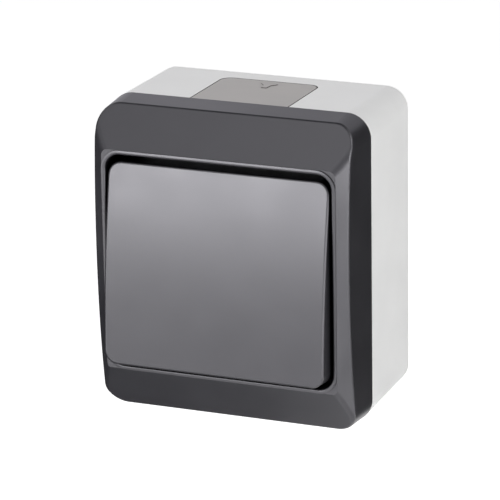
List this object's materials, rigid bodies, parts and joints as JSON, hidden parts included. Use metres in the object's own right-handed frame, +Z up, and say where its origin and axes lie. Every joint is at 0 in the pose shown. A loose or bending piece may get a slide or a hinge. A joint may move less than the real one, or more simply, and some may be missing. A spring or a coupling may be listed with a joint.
{
  "type": "light switch",
  "caption": "Surface-mounted outdoor rocker light switch: light grey wall box with a cable insert, graphite frame with sloping flanks and a tilting convex rocker",
  "frame": {"origin": "middle of the wall face", "axes": "X to the right, Y into the wall, Z up"},
  "size_m": [0.064, 0.0452, 0.074],
  "materials": {
    "light_grey_plastic": "satin, fine grain",
    "mid_grey_plastic": "satin, fine grain",
    "graphite_plastic": "satin, fine grain",
    "black_rubber": "matt",
    "white_plastic": "satin",
    "red_plastic": "satin",
    "black_plastic": "satin",
    "brass": "stamped",
    "silver": "smooth",
    "zinc_steel": "zinc plated",
    "spring_steel": "drawn wire"
  },
  "bodies": {
    "housing": {"base_box": "light_grey_plastic", "top_cable_insert": "mid_grey_plastic", "bottom_cable_insert": "mid_grey_plastic", "front_frame": "graphite_plastic", "rim_gasket": "black_rubber", "lever_seal": "black_rubber", "mechanism_body": "white_plastic", "mechanism_cover": "white_plastic", "common_terminal": "brass", "upper_terminal": "brass", "lower_terminal": "brass", "contact_pin": "brass", "upper_fixed_contact": "silver", "lower_fixed_contact": "silver", "left_frame_screw": "zinc_steel", "right_frame_screw": "zinc_steel", "upper_mechanism_screw": "zinc_steel", "lower_mechanism_screw": "zinc_steel", "common_terminal_screw": "zinc_steel", "upper_terminal_screw": "zinc_steel", "lower_terminal_screw": "zinc_steel"},
    "rocker": {"rocker_key": "graphite_plastic"},
    "lever": {"toggle_lever": "red_plastic", "plunger_spring": "spring_steel"},
    "plunger": {"plunger": "black_plastic"},
    "contact": {"contact_bridge": "brass", "upper_moving_contact": "silver", "lower_moving_contact": "silver"}
  },
  "joints": [
    {"name": "rocker_tilt", "type": "hinge", "parent": "housing", "child": "rocker", "pos_m": [0, -0.0365, 0], "axis": [1, 0, 0], "range_deg": [0, 13.4]},
    {"name": "lever_tilt", "type": "hinge", "parent": "housing", "child": "lever", "pos_m": [0, -0.0225, 0], "axis": [1, 0, 0], "range_deg": [-13.4, 0]},
    {"name": "contact_tilt", "type": "hinge", "parent": "housing", "child": "contact", "pos_m": [0, -0.0107, 0], "axis": [1, 0, 0], "range_deg": [0, 10]},
    {"name": "plunger_slide", "type": "slide", "parent": "lever", "child": "plunger", "axis": [0, 0.9932, 0.1167], "range_m": [-0.0008, 0], "stiffness_N_per_m": 800, "springref_m": 0.004, "deforming": ["plunger_spring"]}
  ],
  "couplings": [
    {"joint": "lever_tilt", "follows": "rocker_tilt", "ratio": -1},
    {"joint": "contact_tilt", "follows": "rocker_tilt", "ratio": 0.74626}
  ]
}
